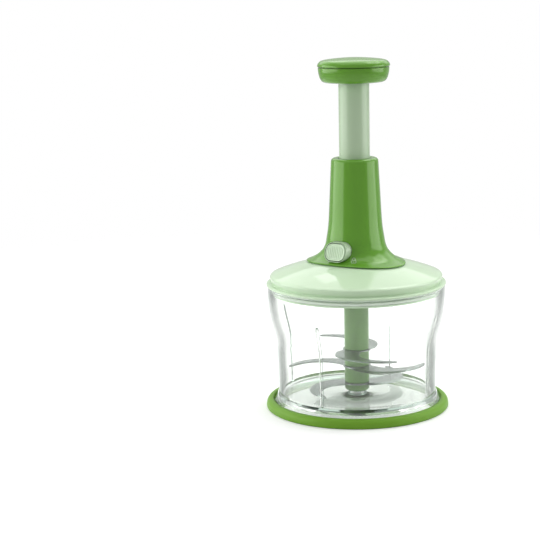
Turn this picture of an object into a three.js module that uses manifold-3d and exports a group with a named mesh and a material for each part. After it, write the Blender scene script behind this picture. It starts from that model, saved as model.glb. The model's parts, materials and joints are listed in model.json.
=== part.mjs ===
// Manual food chopper: pressing the knob turns three blades in a clear bowl.
// Millimetres, +Z up. The origin is on the floor under the middle of the non-slip ring,
// and the lock button faces -Y.
import * as THREE from 'three';
import { mergeVertices } from 'three/addons/utils/BufferGeometryUtils.js';
import Module from 'manifold-3d';

const wasm = await Module();
wasm.setup();

// Driving dimensions
const gap = 0.3;                 // left between pieces that touch on the real object
const stroke = 60;               // how far the knob goes down
const ringRadius = 80;
const ringTop = 8;
const ringBore = 73.4;
const footRadius = 73;
const bowlBaseRadius = 68.8;
const bowlShoulderRadius = 77.3;
const bowlRim = 108.4;
const bowlWall = 2.4;
const ribTurn = 6.5;             // degrees from the button to the first rib
const lipRadius = 78;
const domeEdgeRadius = 75;
const domeApex = 132.6;          // height of the dome's crown if it had no hole
const domeCurve = 0.00271;       // how much the dome falls for each square millimetre
const lidWall = 2.2;
const lidBore = 17.5;
const flangeHalfLength = 45.6;   // the tower's foot is an oval, long along X
const flangeOval = 0.79;
const towerWall = 2.4;
const towerTop = 218.7;
const towerBore = 15.9;
const stemRadius = 13.15;
const stemBore = 10.4;
const stemTop = 292;
const nutBottom = 208;
const nutTop = 218;
const knobBottom = 283.1;
const knobSeam = 296.3;
const knobApex = 304;
const rodSide = 6.2;
const rodLead = 40;              // one turn of the rod's helix, left-handed
const rodTwistStart = 126;
const rodBottom = 112.6;
const rodTop = 219;
const nutPlay = 0.5;             // between the rod's flats and the nut's
const plateTop = 123.5;          // top of the mechanism housing
const stemBottom = plateTop + 3.5 + stroke;
const buttonCentreZ = 140.6;
const buttonFaceY = -32.5;
const buttonWidth = 21.8;
const buttonHeight = 16.4;
const buttonCorner = 7.4;
const buttonTravel = 3;
const shaftRadius = 10.7;
const coreRadius = 7.4;
const shaftTop = 101.5;
const bladeReach = 60;
const bladeThickness = 1.2;
const bladeHalfWidth = 12;
const bladeSweep = 66;            // degrees from an arm's root to its tip
const bladeLevels = { lower: 20, middle: 35, upper: 50 };
const bladeTurns = { lower: 30, middle: -30, upper: -90 };   // root direction, degrees from +X
const pinRadius = 3;
const pinTop = 41.7;

const finishes = {
  darkGreen: { color: 0x6ea541, roughness: 0.22, metalness: 0 },
  ringGreen: { color: 0x6b9f3a, roughness: 0.55, metalness: 0 },
  paleGreen: { color: 0xcbe4c4, roughness: 0.3, metalness: 0 },
  stemGreen: { color: 0xb7d1b1, roughness: 0.32, metalness: 0 },
  shaftGreen: { color: 0x76a06c, roughness: 0.35, metalness: 0 },
  clear: { color: 0xeef3f0, roughness: 0.05, metalness: 0, transparent: true, opacity: 0.35 },
  seal: { color: 0xe6eee2, roughness: 0.6, metalness: 0 },
  acetal: { color: 0xf0efe8, roughness: 0.4, metalness: 0 },
  steel: { color: 0xc3c6c8, roughness: 0.25, metalness: 1 },
  springSteel: { color: 0x8f9396, roughness: 0.35, metalness: 1 },
  brass: { color: 0xc9a85a, roughness: 0.3, metalness: 1 },
};

const group = new THREE.Group();

function add(name, geometry, finish) {
  const mesh = new THREE.Mesh(geometry, new THREE.MeshStandardMaterial(finishes[finish]));
  mesh.name = name;
  group.add(mesh);
}

// Solids for cutting and joining
function toSolid(geometry) {
  const bare = geometry.clone();
  bare.deleteAttribute('normal');
  bare.deleteAttribute('uv');
  const merged = mergeVertices(bare, 1e-4);
  const index = merged.index.array;
  const corners = [];
  for (let i = 0; i < index.length; i += 3) {
    const [a, b, c] = [index[i], index[i + 1], index[i + 2]];
    if (a !== b && b !== c && c !== a) corners.push(a, b, c);
  }
  return new wasm.Manifold(new wasm.Mesh({
    numProp: 3,
    vertProperties: new Float32Array(merged.attributes.position.array),
    triVerts: new Uint32Array(corners),
  }));
}

function toGeometry(solid) {
  const mesh = solid.getMesh();
  const geometry = new THREE.BufferGeometry();
  geometry.setAttribute('position', new THREE.BufferAttribute(mesh.vertProperties, 3));
  geometry.setIndex(new THREE.BufferAttribute(mesh.triVerts, 1));
  return geometry;
}

function join(first, ...others) {
  return toGeometry(others.reduce((solid, other) => solid.add(toSolid(other)), toSolid(first)));
}

function cut(first, ...tools) {
  return toGeometry(tools.reduce((solid, tool) => solid.subtract(toSolid(tool)), toSolid(first)));
}

// Outlines are lists of [radius, height]
function arc(r, z, radius, from, to, steps = 3) {
  return Array.from({ length: steps + 1 }, (_, i) => {
    const angle = THREE.MathUtils.degToRad(from + (to - from) * i / steps);
    return [r + radius * Math.cos(angle), z + radius * Math.sin(angle)];
  });
}

function curve(points, steps) {
  const spline = new THREE.SplineCurve(points.map(([r, z]) => new THREE.Vector2(r, z)));
  return spline.getPoints(steps).map((point) => [point.x, point.y]);
}

// Moves an open outline to the right of its own direction
function offset(points, distance) {
  return points.map(([r, z], i) => {
    const before = points[Math.max(i - 1, 0)];
    const after = points[Math.min(i + 1, points.length - 1)];
    const along = [after[0] - before[0], after[1] - before[1]];
    const length = Math.hypot(...along);
    return [r + distance * along[1] / length, z - distance * along[0] / length];
  });
}

function revolve(outline, segments = 32) {
  const points = outline.map(([r, z]) => new THREE.Vector2(r, z));
  if (THREE.ShapeUtils.area(points) < 0) points.reverse();
  if (points[0].x > 0) points.push(points[0].clone());
  return new THREE.LatheGeometry(points, segments).rotateX(Math.PI / 2);
}

function sleeve(innerRadius, outerRadius, low, high, segments = 24) {
  const outline = [[innerRadius, low], [outerRadius, low], [outerRadius, high], [innerRadius, high]];
  return revolve(outline, segments);
}

function rod(radius, low, high, segments = 20) {
  return new THREE.CylinderGeometry(radius, radius, high - low, segments)
    .rotateX(Math.PI / 2)
    .translate(0, 0, (low + high) / 2);
}

function block(centre, size) {
  return new THREE.BoxGeometry(...size).translate(...centre);
}

function hexagon(acrossFlats, low, high) {
  return rod(acrossFlats / Math.sqrt(3), low, high, 6);
}

function plate(shape, low, thickness, curveSegments = 4) {
  const options = { depth: thickness, bevelEnabled: false, curveSegments };
  return new THREE.ExtrudeGeometry(shape, options).translate(0, 0, low);
}

function roundedRectangle(width, height, corner) {
  const x = width / 2 - corner;
  const y = height / 2 - corner;
  const quarter = Math.PI / 2;
  return new THREE.Shape()
    .absarc(x, y, corner, 0, quarter)
    .absarc(-x, y, corner, quarter, 2 * quarter)
    .absarc(-x, -y, corner, 2 * quarter, 3 * quarter)
    .absarc(x, -y, corner, 3 * quarter, 4 * quarter);
}

// An oval bar along Y between two places, for the button and what it moves in
function ovalBar(grow, front, back, height = buttonHeight) {
  const shape = roundedRectangle(buttonWidth + 2 * grow, height + 2 * grow, buttonCorner + grow);
  return plate(shape, 0, back - front)
    .rotateX(Math.PI / 2)
    .translate(0, back, buttonCentreZ);
}

// Round helix of wire with closed ends; prints how close its turns come
class Helix extends THREE.Curve {
  constructor(radius, length, turns) {
    super();
    Object.assign(this, { radius, length, turns });
  }

  getPoint(t, target = new THREE.Vector3()) {
    const angle = 2 * Math.PI * this.turns * t;
    return target.set(this.radius * Math.cos(angle), this.radius * Math.sin(angle), this.length * t);
  }
}

function spring(name, radius, wire, length, turns) {
  const path = new Helix(radius, length - wire, turns);
  const section = new THREE.Shape([0, 72, 144, 216, 288].map((angle) => (
    new THREE.Vector2(...aroundAxis(wire / 2, angle)))));
  const steps = 8 * turns;
  const points = path.getPoints(steps);
  let least = Infinity;
  points.forEach((point, i) => points.slice(i + 5).forEach((other) => {
    least = Math.min(least, point.distanceTo(other));
  }));
  console.log(`${name}: least gap between turns ${(least - wire).toFixed(2)} mm`);
  const options = { steps, extrudePath: path, bevelEnabled: false };
  return new THREE.ExtrudeGeometry(section, options).translate(0, 0, wire / 2);
}

// Pan-head screw with its head's seat at seatZ, pointing up (+1) or down (-1)
function screw(x, y, seatZ, headRadius, headHeight, shankRadius, length, direction) {
  const outline = [
    [0, -headHeight],
    [headRadius * 0.75, -headHeight],
    [headRadius, 0],
    [shankRadius, 0],
    [shankRadius, length - shankRadius],
    [0, length],
  ];
  return revolve(outline.map(([r, z]) => [r, seatZ + direction * z]), 8).translate(x, y, 0);
}

// Square bar whose flats wind round the axis above the twist's start
function twistedBar(side, low, high, rows, columns) {
  const bar = new THREE.BoxGeometry(side, side, high - low, columns, columns, rows)
    .translate(0, 0, (low + high) / 2);
  const place = bar.attributes.position;
  const point = new THREE.Vector3();
  const up = new THREE.Vector3(0, 0, 1);
  for (let i = 0; i < place.count; i += 1) {
    point.fromBufferAttribute(place, i);
    const turn = -2 * Math.PI * Math.max(0, point.z - rodTwistStart) / rodLead;
    point.applyAxisAngle(up, turn);
    place.setXYZ(i, point.x, point.y, point.z);
  }
  return bar;
}

function domeHeight(radius) {
  return domeApex - domeCurve * radius ** 2;
}

function domeArc(from, to, drop, steps) {
  return Array.from({ length: steps + 1 }, (_, i) => {
    const radius = from + (to - from) * i / steps;
    return [radius, domeHeight(radius) - drop];
  });
}

function aroundAxis(radius, degrees) {
  const angle = THREE.MathUtils.degToRad(degrees);
  return [radius * Math.cos(angle), radius * Math.sin(angle)];
}

// Bowl
const bowlOutside = curve([
  [bowlBaseRadius, 14.6],
  [bowlBaseRadius, 26],
  [69.3, 42],
  [69.8, 57],
  [71.4, 65],
  [74.1, 75.3],
  [76, 85.5],
  [77.1, 97],
  [bowlShoulderRadius, bowlRim],
], 9);
const bowlInside = offset(bowlOutside, -bowlWall);
const bowlFloor = 12.5;
const pinHole = pinRadius + gap;
const pinFoot = 5;

function makeBowl() {
  const wallInside = bowlInside.slice(1).reverse();
  const shell = revolve([
    [0, 3.6],
    [7, 3.6],
    [7, 9.6],
    [64, 9.6],
    [67, 8.2],
    [70.2, 2.3],
    [footRadius, 2.3],
    [footRadius, 4.2],
    [72, 6],
    [69.6, 12.6],
    ...bowlOutside,
    ...wallInside,
    ...arc(wallInside.at(-1)[0] - 3.2, bowlFloor + 3.2, 3.2, 0, -90, 2),
    [6, bowlFloor],
    [6, 13.3],
    [pinHole, 13.3],
    [pinHole, pinFoot],
    [0, pinFoot],
  ]);
  const ribProud = 1.8;
  const ribWidth = 3.2;
  const ribFrom = 1;
  const ribTo = 9;
  const spine = bowlInside.slice(ribFrom, ribTo);
  const ribs = [0, 1, 2, 3].map((i) => {
    const inner = offset(spine, -ribProud);
    const outer = offset(spine, bowlWall / 2).reverse();
    const low = [[inner[0][0], bowlFloor - 1], [outer.at(-1)[0], bowlFloor - 1]];
    const outline = [low[1], low[0], ...inner, ...outer];
    const shape = new THREE.Shape(outline.map((point) => new THREE.Vector2(...point)));
    return plate(shape, -ribWidth / 2, ribWidth)
      .rotateX(Math.PI / 2)
      .rotateZ(THREE.MathUtils.degToRad(-90 + ribTurn + 90 * i));
  });
  return join(shell, ...ribs);
}

add('bowl', makeBowl(), 'clear');
add('pivot_pin', revolve([
  [0, pinFoot + gap],
  [pinRadius, pinFoot + gap],
  ...arc(0, pinTop - pinRadius, pinRadius, 0, 90, 3),
], 16), 'steel');
add('non_slip_ring', revolve([
  [66.5, 0],
  [78.6, 0],
  ...arc(78.4, 1.6, ringRadius - 78.4, -45, 0, 1),
  ...arc(74.9, 3.2, ringTop - 3.2, 10, 90, 4),
  ...arc(ringBore + 0.9, ringTop - 0.9, 0.9, 135, 180, 1),
  [ringBore, 2],
  [66.5, 2],
]), 'ringGreen');

// Lid
const skirtRadius = 73;
const skirtBottom = 102.2;
const chassisScrewCircle = 30;
const towerScrewCircle = 24.5;
const quarterTurns = [0, 90, 180, 270];
const diagonals = [45, 135, 225, 315];

function makeLidCover() {
  const cover = revolve([
    ...domeArc(lidBore, 73.9, 0, 6),
    [74.7, 116.9],
    [domeEdgeRadius, 115.7],
    [74.6, 111.4],
    [77, 110.9],
    ...arc(lipRadius - 1.1, 109.8, 1.1, 60, 0, 1),
    [lipRadius, 109.3],
    [77.5, bowlRim + gap],
    [skirtRadius, bowlRim + gap],
    [skirtRadius, 106.9],
    [71.5, 106.9],
    [71.5, 103.7],
    [skirtRadius, 103.7],
    [skirtRadius, skirtBottom],
    [70.8, skirtBottom],
    [70.8, 114.2],
    ...domeArc(68, lidBore, lidWall, 4),
  ]);
  const bosses = quarterTurns.map((angle) => rod(3.6, 117, domeHeight(30) - 1, 14)
    .translate(...aroundAxis(chassisScrewCircle, angle), 0));
  const pilots = quarterTurns.map((angle) => rod(1.5, 116, 125.5, 10)
    .translate(...aroundAxis(chassisScrewCircle, angle), 0));
  const holes = diagonals.map((angle) => rod(1.9, 120, 140, 10)
    .translate(...aroundAxis(towerScrewCircle, angle), 0));
  return cut(join(cover, ...bosses), ...pilots, ...holes);
}

add('lid_cover', makeLidCover(), 'paleGreen');
add('lid_seal', revolve([
  [71.8, 104],
  [73.4, 104],
  [74.6, 104.7],
  [73.9, 105.3],
  [74.6, 105.9],
  [73.4, 106.6],
  [71.8, 106.6],
]), 'seal');
add('lid_underplate', revolve([
  [9, 102.4],
  [70.2, 102.4],
  [70.5, 102.9],
  [70.5, 104.4],
  [12, 104.4],
  [12, 106.7],
  [9, 106.7],
]), 'paleGreen');

// Tower
const towerOutside = curve([
  [45, 128.9],
  [37.3, 132.3],
  [30.4, 137.8],
  [26.9, 143.2],
  [25, 150],
  [23.1, 164],
  [21.6, 192],
  [20.4, 215.6],
], 10);

function ovalRatio(z) {
  return 1 - (1 - flangeOval) * THREE.MathUtils.smoothstep(152 - z, 0, 24);
}

// Squeezes a turned solid along Y towards its foot and lays the foot on the dome
function ovalise(geometry) {
  const place = geometry.attributes.position;
  for (let i = 0; i < place.count; i += 1) {
    const [x, y, z] = [place.getX(i), place.getY(i), place.getZ(i)];
    const squeezed = y * ovalRatio(z);
    const nearer = x ** 2 + y ** 2 - x ** 2 - squeezed ** 2;
    const lift = domeCurve * nearer * THREE.MathUtils.smoothstep(150 - z, 0, 21);
    place.setXYZ(i, x, squeezed, z + lift);
  }
  return geometry;
}

function makeTower() {
  const inside = offset(towerOutside, -towerWall)
    .filter(([r, z]) => z > domeHeight(r) + gap && z < 208);
  const shell = ovalise(revolve([
    [40.6, domeHeight(40.6) + gap],
    [flangeHalfLength - 0.4, domeHeight(flangeHalfLength) + gap],
    [flangeHalfLength, domeHeight(flangeHalfLength) + gap + 0.7],
    ...towerOutside,
    ...arc(17.3, towerTop - 3.1, 3.1, 15, 80, 3),
    [16.4, towerTop - 0.3],
    [towerBore, towerTop - 1],
    [towerBore, 211.5],
    [17.9, 211.5],
    ...inside.reverse(),
  ]));
  const bosses = diagonals.map((angle) => rod(3.4, 131.3, 143, 14)
    .translate(...aroundAxis(towerScrewCircle, angle), 0));
  const trim = revolve([[10, 131.9], [27.9, 131.15], [27.9, 120], [10, 120]], 24);
  const pilots = diagonals.map((angle) => rod(1.35, 120, 140.5, 10)
    .translate(...aroundAxis(towerScrewCircle, angle), 0));
  const outsideOnly = ovalise(revolve([[0, 110], [flangeHalfLength, 110], ...towerOutside, [0, 215.6]]));
  const trimmedBosses = bosses.map((boss) => toGeometry(toSolid(boss).intersect(toSolid(outsideOnly))));
  const hole = ovalBar(gap, -45, -12);
  return cut(join(shell, ...trimmedBosses), trim, ...pilots, hole);
}

add('tower_housing', makeTower(), 'darkGreen');

const bushBore = stemRadius + 0.35;
const keyWidth = 2.4;
const keyDepth = 0.8;
const stopTop = stemBottom + 6;
const stopRadius = stemRadius + buttonTravel;

function makeGuideBush() {
  const bush = revolve([
    [bushBore, stopTop + gap],
    [15.6, stopTop + gap],
    [15.6, 207],
    [17.6, 207],
    [17.6, 211.2],
    [15.6, 211.2],
    [15.6, 216.6],
    [bushBore, 216.6],
  ], 24);
  const keyInner = stemRadius - keyDepth;
  const keyOuter = bushBore + 0.9;
  const key = block(
    [0, (keyInner + keyOuter) / 2, (stopTop + 216) / 2],
    [keyWidth, keyOuter - keyInner, 214 - stopTop],
  );
  return join(bush, key);
}

add('guide_bush', makeGuideBush(), 'acetal');
const towerScrewSeat = domeHeight(towerScrewCircle + 3.2) - lidWall - gap;
for (const [i, angle] of diagonals.entries()) {
  const [x, y] = aroundAxis(towerScrewCircle, angle);
  add(`tower_screw_${i + 1}`, screw(x, y, towerScrewSeat, 3.2, 2, 1.05, 11.5, 1), 'steel');
}

// Lock button
const sleeveWall = 0.6;
const sleeveBack = -19;
const sleeveRear = 1.5;
const noseLow = 134;
const noseHigh = 136.7;
const noseTip = -(stopRadius + 0.4);
const shoulder = -26;
const coilRadius = 3.5;
const coilWire = 0.7;
const coilCentreZ = 142.4;

function makeSleeve() {
  const bore = ovalBar(-sleeveWall, buttonFaceY - 1, sleeveBack - sleeveRear);
  const window = block([0, sleeveBack, (noseLow + noseHigh) / 2], [9, 6, noseHigh - noseLow + 0.8]);
  return cut(ovalBar(0, buttonFaceY, sleeveBack), bore, window);
}

add('button_sleeve', makeSleeve(), 'stemGreen');
add('lock_button', ovalBar(-sleeveWall - 0.4, buttonFaceY - 0.1, buttonFaceY + 2.6), 'paleGreen');

function makeLatchSlide() {
  const body = plate(roundedRectangle(18, 12.6, 5), 0, shoulder - (buttonFaceY + 2.9))
    .rotateX(Math.PI / 2)
    .translate(0, shoulder, buttonCentreZ);
  const noseBack = shoulder - 0.5;
  const nose = block(
    [0, (noseBack + noseTip) / 2, (noseLow + gap + noseHigh) / 2],
    [8, noseTip - noseBack, noseHigh - noseLow - gap],
  );
  const spigot = rod(2.4, 0, 1.5, 14).rotateX(-Math.PI / 2).translate(0, shoulder - 0.2, coilCentreZ);
  return join(body, nose, spigot);
}

add('latch_slide', makeLatchSlide(), 'acetal');
const coilGap = 0.15;
const coilLength = sleeveBack - sleeveRear - shoulder - 2 * coilGap;
add('button_spring', spring('button_spring', coilRadius, coilWire, coilLength, 3)
  .rotateX(-Math.PI / 2)
  .translate(0, shoulder + coilGap, coilCentreZ), 'springSteel');

// Mechanism under the lid
const journalRadius = 5.5;
const wheelTop = 116.9;
const wheelBottom = 112;
const wheelRadius = 10;
const toothDepth = 1.9;
const carrierBottom = 107;
const carrierFloor = 110.7;
const carrierRadius = 19.5;
const carrierInside = 16.6;
const pawlPinCircle = 13.7;
const pinFit = 1.5;               // radius of the holes for the pawl pins

add('mechanism_housing', cut(
  revolve([
    [8, 120],
    [20.5, 120],
    [20.5, 106.8],
    [22.5, 106.8],
    [22.5, 114],
    [34.5, 114],
    [34.5, 116.7],
    [22.5, 116.7],
    [22.5, plateTop],
    [8, plateTop],
  ], 28),
  ...quarterTurns.map((angle) => rod(1.9, 113, 118, 12)
    .translate(...aroundAxis(chassisScrewCircle, angle), 0)),
), 'acetal');
add('spindle_bush', revolve([
  [journalRadius + gap, 117.3],
  [10.4, 117.3],
  [10.4, 119.7],
  [7.7, 119.7],
  [7.7, 123.2],
  [journalRadius + gap, 123.2],
], 24), 'brass');
for (const [i, angle] of quarterTurns.entries()) {
  const [x, y] = aroundAxis(chassisScrewCircle, angle);
  add(`mechanism_screw_${i + 1}`, screw(x, y, 114 - gap, 3.2, 2, 1.2, 11, 1), 'steel');
}
const springFloor = plateTop + gap;
add('return_spring', spring('return_spring', 9, 1.3, nutBottom - gap - springFloor, 12)
  .translate(0, 0, springFloor), 'springSteel');

add('twisted_rod', twistedBar(rodSide, rodBottom, rodTop, 38, 2), 'steel');

function makeRatchetWheel() {
  const teeth = 8;
  const outline = new THREE.Shape();
  for (let i = 0; i < teeth; i += 1) {
    const face = 360 * i / teeth;
    const low = aroundAxis(wheelRadius - toothDepth, face);
    const high = aroundAxis(wheelRadius, face);
    if (i === 0) outline.moveTo(...low);
    else outline.lineTo(...low);
    outline.lineTo(...high);
    outline.lineTo(...aroundAxis(wheelRadius - toothDepth * 0.3, face + 180 / teeth));
  }
  outline.closePath();
  const disc = plate(outline, wheelBottom, wheelTop - wheelBottom);
  const journal = rod(journalRadius, wheelTop - 1, 124.6, 20);
  const square = block([0, 0, 120], [rodSide + 2 * gap, rodSide + 2 * gap, 2 * (120 - rodBottom + gap)]);
  const screwHole = rod(2.1, 111, 113, 12);
  return cut(join(disc, journal), square, screwHole);
}

add('ratchet_wheel', makeRatchetWheel(), 'acetal');
add('thrust_washer', sleeve(4.4, 7.8, carrierFloor + gap, wheelBottom - gap, 24), 'steel');

const couplingFlats = 11.4;
const couplingBottom = 91;
const pawlAngles = [8, 188];

function makeCarrier() {
  const cup = revolve([
    [0, 101.9],
    [8.4, 101.9],
    [8.4, carrierBottom],
    [carrierRadius, carrierBottom],
    [carrierRadius, 116.9],
    [carrierInside, 116.9],
    [carrierInside, carrierFloor],
    [0, carrierFloor],
  ], 28);
  const hex = hexagon(couplingFlats, couplingBottom, 102.4);
  const screwRoom = rod(3.9, 108.2, 115, 16);
  const pinHoles = pawlAngles.map((angle) => rod(pinFit, 108.2, 115, 10)
    .translate(...aroundAxis(pawlPinCircle, angle), 0));
  return cut(join(cup, hex), screwRoom, ...pinHoles);
}

add('clutch_carrier', makeCarrier(), 'acetal');
pawlAngles.forEach((angle, i) => {
  const arm = new THREE.Shape([
    [-0.9, -2.2],
    [1.8, -1.8],
    [2.4, 0.6],
    [0.6, 2.4],
    [-5.6, 5.7],
    [-6.6, 4.9],
    [-4.1, 2.9],
    [-2.2, 0.2],
  ].map((point) => new THREE.Vector2(...point)));
  const [x, y] = aroundAxis(pawlPinCircle, angle);
  const turn = THREE.MathUtils.degToRad(angle);
  const pawl = cut(plate(arm, 111.2, 4.8), rod(pinFit, 110, 118, 10)).rotateZ(turn).translate(x, y, 0);
  add(`pawl_${i + 1}`, pawl, 'acetal');
  add(`pawl_pin_${i + 1}`, rod(1.2, 108.5, 116.6, 10).translate(x, y, 0), 'steel');
});

// Blades
const socketFlats = 12.2;
const socketBottom = 88;
const coreBottom = 14.6;
const webBottom = 42;
const webTop = 45;
const pivotBushRadius = 5;
const bladeHole = coreRadius + gap;
const shoulderZ = bladeLevels.upper + bladeThickness + gap;

add('blade_shaft', cut(
  revolve([
    [pivotBushRadius + gap, coreBottom],
    [coreRadius, coreBottom],
    [coreRadius, shoulderZ],
    [shaftRadius, shoulderZ],
    [shaftRadius, shaftTop - 0.6],
    [shaftRadius - 0.6, shaftTop],
    [socketFlats / 2 - 0.2, shaftTop],
    [socketFlats / 2 - 0.2, webTop],
    [0, webTop],
    [0, webBottom],
    [pivotBushRadius + gap, webBottom],
  ], 24),
  hexagon(socketFlats, socketBottom, shaftTop + 1),
), 'shaftGreen');
add('pivot_bush', sleeve(pinRadius + gap, pivotBushRadius, coreBottom + 0.4, 34, 20), 'brass');

// One arm's two edges: the outer one is convex, leads the turn and carries the teeth
function bladeOutline() {
  const toothPitch = 3.2;
  const toothDepthMm = 0.9;
  const edge = (t, side) => {
    const radius = 9 + (bladeReach - 9) * t;
    const middle = bladeSweep * t ** 1.5;
    const halfWidth = bladeHalfWidth * Math.sqrt(Math.max(0, 1 - t ** 2.4)) + 0.3;
    const spread = THREE.MathUtils.radToDeg(Math.atan2(halfWidth, radius));
    return aroundAxis(Math.hypot(radius, halfWidth * 0.6), middle + side * spread);
  };
  const teeth = Math.floor((bladeReach - 9) / toothPitch);
  const leading = [edge(0, -1), edge(0.12, -1)];
  for (let i = 0; i < teeth; i += 1) {
    const from = 0.16 + 0.8 * i / teeth;
    const peak = edge(from + 0.4 / teeth, -1);
    const length = Math.hypot(...peak);
    leading.push(edge(from, -1).map((v) => v * (1 - toothDepthMm / length)), peak);
  }
  const trailing = [1, 0.93, 0.84, 0.72, 0.58, 0.44, 0.3, 0.16, 0].map((t) => edge(t, 1));
  return [...leading, ...trailing];
}

function makeBlade(level, turn) {
  const arm = bladeOutline();
  const opposite = arm.map(([x, y]) => [-x, -y]);
  const shape = new THREE.Shape([...arm, ...opposite].map((point) => new THREE.Vector2(...point)));
  shape.holes.push(new THREE.Path().absarc(0, 0, bladeHole, 0, 2 * Math.PI));
  return plate(shape, level, bladeThickness, 12).rotateZ(THREE.MathUtils.degToRad(turn));
}

for (const [name, level] of Object.entries(bladeLevels)) {
  add(`blade_${name}`, makeBlade(level, bladeTurns[name]), 'steel');
}
const spacers = [['spacer_lower', 'lower', 'middle'], ['spacer_upper', 'middle', 'upper']];
for (const [name, below, above] of spacers) {
  const low = bladeLevels[below] + bladeThickness + gap;
  add(name, sleeve(bladeHole, shaftRadius, low, bladeLevels[above] - gap), 'shaftGreen');
}
add('blade_nut', revolve([
  [bladeHole, 14.2],
  [9.6, 14.2],
  [shaftRadius, 15.4],
  [shaftRadius, bladeLevels.lower - gap],
  [bladeHole, bladeLevels.lower - gap],
], 24), 'shaftGreen');

// Plunger
const ribRadius = 11.3;
const ribWidth = 2.4;

function makeStem() {
  const tube = revolve([
    [stemBore, stemBottom],
    [stemRadius - 1.2, stemBottom],
    [stemRadius - 1.2, stopTop + gap / 2],
    [stemRadius, stopTop + gap / 2],
    [stemRadius, stemTop],
    [0, stemTop],
    [0, 280.5],
    [7, 280.5],
    [7, nutTop + gap],
    [stemBore, nutTop + gap],
  ], 28);
  const keyway = block(
    [0, stemRadius, (stemBottom + knobBottom) / 2],
    [keyWidth + 0.8, 2 * (keyDepth + gap), knobBottom - stemBottom - 2],
  );
  const grooves = block(
    [0, 0, nutTop + gap - (nutTop - stemBottom + 2) / 2],
    [2 * (ribRadius + gap), ribWidth + 2 * gap, nutTop - stemBottom + 2],
  );
  const screwHole = rod(2.3, 283.4, stemTop + 1, 12);
  return cut(tube, keyway, grooves, screwHole);
}

add('stem_tube', makeStem(), 'stemGreen');
add('stop_ring', sleeve(stemRadius - 1.2 + gap, stopRadius, stemBottom + 0.05, stopTop, 28), 'acetal');

function makeDriveNut() {
  const body = rod(stemBore - gap, nutBottom, nutTop, 28);
  const ribs = block([0, 0, (nutBottom + nutTop) / 2], [2 * ribRadius, ribWidth, nutTop - nutBottom]);
  return cut(join(body, ribs), twistedBar(rodSide + 2 * nutPlay, nutBottom - 2, nutTop + 2, 9, 2));
}

add('drive_nut', makeDriveNut(), 'acetal');

const knobWebLow = stemTop + gap;
const knobWebHigh = 294.6;
add('knob_base', revolve([
  [stemRadius + gap, knobBottom + 0.9],
  [stemRadius + 1.2, knobBottom],
  [24.6, knobBottom],
  [25.8, 283.6],
  [27.3, 284.4],
  [28.4, 286],
  [29.2, 287.8],
  [29.6, 289.5],
  [30, 291.2],
  [30.3, 293.6],
  [30.4, knobSeam - 0.4],
  [28, knobSeam - 0.4],
  [27.6, 291],
  [26.4, 287.4],
  [24, 285.5],
  [16, 285.5],
  [16, knobWebHigh],
  [2.3, knobWebHigh],
  [2.3, knobWebLow],
  [stemRadius + gap, knobWebLow],
], 30), 'darkGreen');
add('knob_screw', screw(0, 0, knobWebHigh + gap, 3.8, 2.4, 1.9, 10.6, -1), 'steel');
add('knob_cap', revolve([
  [0, knobApex],
  [8, knobApex - 0.15],
  [18.8, knobApex - 1],
  [24.8, knobApex - 1.8],
  [28.2, 301.3],
  [29.8, 299.7],
  [30.6, 298.6],
  [31, 297.5],
  [30.9, knobSeam + 0.4],
  [27.6, knobSeam + 0.4],
  [27.6, knobSeam - 2.2],
  [25.8, knobSeam - 2.2],
  [25.8, 298.4],
  [22.8, 300],
  [0, 301.3],
], 30), 'darkGreen');

export default group;
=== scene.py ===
import json
import math
import bmesh
import bpy
from mathutils import Matrix, Vector


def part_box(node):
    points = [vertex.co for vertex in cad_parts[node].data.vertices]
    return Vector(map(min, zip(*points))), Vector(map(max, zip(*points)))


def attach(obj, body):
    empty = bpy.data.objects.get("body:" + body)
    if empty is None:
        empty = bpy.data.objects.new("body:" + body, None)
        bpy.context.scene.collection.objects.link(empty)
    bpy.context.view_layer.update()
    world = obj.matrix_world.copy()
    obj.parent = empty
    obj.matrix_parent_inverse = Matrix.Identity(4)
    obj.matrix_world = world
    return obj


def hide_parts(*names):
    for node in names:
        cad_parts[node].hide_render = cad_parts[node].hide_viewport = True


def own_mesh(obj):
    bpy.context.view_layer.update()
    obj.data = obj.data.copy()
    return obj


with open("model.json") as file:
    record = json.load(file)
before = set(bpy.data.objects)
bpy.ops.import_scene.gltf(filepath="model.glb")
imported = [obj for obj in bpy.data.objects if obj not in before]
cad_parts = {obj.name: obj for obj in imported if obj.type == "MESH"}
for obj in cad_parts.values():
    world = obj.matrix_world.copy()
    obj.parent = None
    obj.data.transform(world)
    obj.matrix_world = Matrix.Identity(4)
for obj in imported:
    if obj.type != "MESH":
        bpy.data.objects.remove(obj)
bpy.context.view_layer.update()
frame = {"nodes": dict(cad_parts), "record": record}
scene = bpy.context.scene
scene.view_settings.view_transform = "Standard"
mm = 0.001  # all sizes below are millimetres, and every mesh is made in metres
print("frame loaded")


# Outlines are lists of (radius, height)
def arc(r, z, radius, start, end, steps=6):
    angles = [math.radians(start + (end - start) * i / steps) for i in range(steps + 1)]
    return [(r + radius * math.cos(a), z + radius * math.sin(a)) for a in angles]


def curve(points, steps):
    last = len(points) - 1
    made = []
    for i in range(steps + 1):
        place = last * i / steps
        first = min(int(place), last - 1)
        t = place - first
        before, start = points[max(first - 1, 0)], points[first]
        end, after = points[first + 1], points[min(first + 2, last)]
        spot = []
        for p0, p1, p2, p3 in zip(before, start, end, after):
            v0, v1 = (p2 - p0) / 2, (p3 - p1) / 2
            cubic = (2 * p1 - 2 * p2 + v0 + v1) * t ** 3
            square = (3 * p2 - 3 * p1 - 2 * v0 - v1) * t ** 2
            spot.append(cubic + square + v0 * t + p1)
        made.append(tuple(spot))
    return made


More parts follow.
